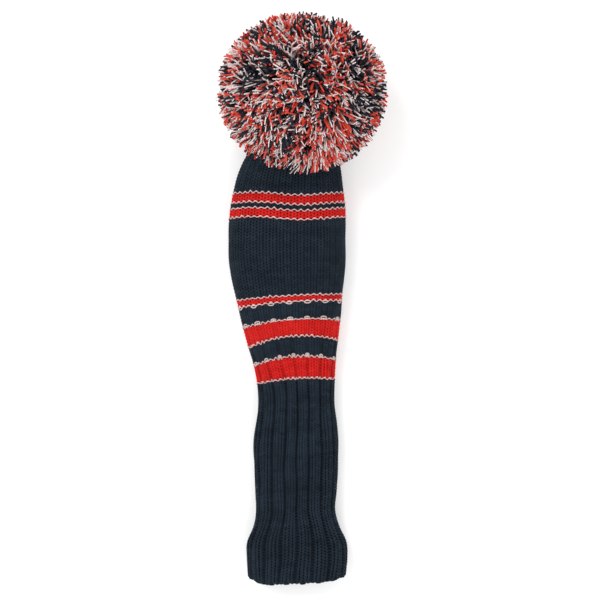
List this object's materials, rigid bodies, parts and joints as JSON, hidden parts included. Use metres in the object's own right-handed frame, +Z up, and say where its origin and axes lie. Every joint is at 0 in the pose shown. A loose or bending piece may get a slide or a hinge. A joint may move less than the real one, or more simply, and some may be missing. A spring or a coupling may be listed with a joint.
{
  "type": "driver head cover",
  "caption": "Knitted tubular head cover for a golf driver, with a striped crown, ribbed neck, flared cuff and a tied yarn pom pom.",
  "frame": {"origin": "on the surface it lies on, under the middle of its length and width", "axes": "+Y from the cuff to the pom pom, +X across the cover, +Z up from the surface it lies on"},
  "size_m": [0.132, 0.4452, 0.115],
  "materials": {
    "navy_yarn": "knitted navy acrylic yarn",
    "red_yarn": "knitted red acrylic yarn",
    "edging_yarn": "fine pale yarn",
    "pom_navy": "cut navy yarn",
    "pom_red": "cut red yarn",
    "pom_white": "cut white yarn with a pink fleck",
    "fleece": "brushed fleece",
    "cord": "twisted polyester cord",
    "button": "matte moulded nylon"
  },
  "bodies": {
    "crown": {"crown_cap": "navy_yarn", "stripe_1": "red_yarn", "stripe_1_edging": "edging_yarn", "band_1_2": "navy_yarn", "stripe_2": "red_yarn", "stripe_2_edging": "edging_yarn", "crown_body": "navy_yarn", "stripe_3": "red_yarn", "stripe_3_edging": "edging_yarn", "band_3_4": "navy_yarn", "stripe_4": "red_yarn", "stripe_4_edging": "edging_yarn", "band_4_5": "navy_yarn", "stripe_5": "red_yarn", "stripe_5_edging": "edging_yarn", "neck_upper": "navy_yarn", "neck_flex": "navy_yarn", "crown_lining": "fleece", "lining_seam": "cord", "gather_cord": "cord", "anchor_button": "button", "tie_cord": "cord"},
    "neck": {"neck_lower": "navy_yarn", "cuff": "navy_yarn", "hem_roll": "navy_yarn", "inner_rib": "navy_yarn"},
    "shank": {"tie_shank": "cord"},
    "pom": {"pom_yarn_navy": "pom_navy", "pom_yarn_red": "pom_red", "pom_yarn_white": "pom_white", "pom_waist": "pom_navy", "binding_cord": "cord"}
  },
  "joints": [
    {"name": "neck_fold", "type": "hinge", "parent": "crown", "child": "neck", "pos_m": [-0.005, -0.105, 0.0125], "axis": [-1, 0, 0], "range_deg": [0, 90], "deforming": ["neck_flex"]},
    {"name": "pom_swing", "type": "hinge", "parent": "crown", "child": "shank", "pos_m": [-0.00182, 0.14266, 0.04684], "axis": [0, 0, 1], "range_deg": [-15, 15], "stiffness_Nm_per_rad": 0.03},
    {"name": "pom_nod", "type": "hinge", "parent": "shank", "child": "pom", "pos_m": [-0.00122, 0.14797, 0.04956], "axis": [1, 0, 0], "range_deg": [-15, 15], "stiffness_Nm_per_rad": 0.06}
  ]
}
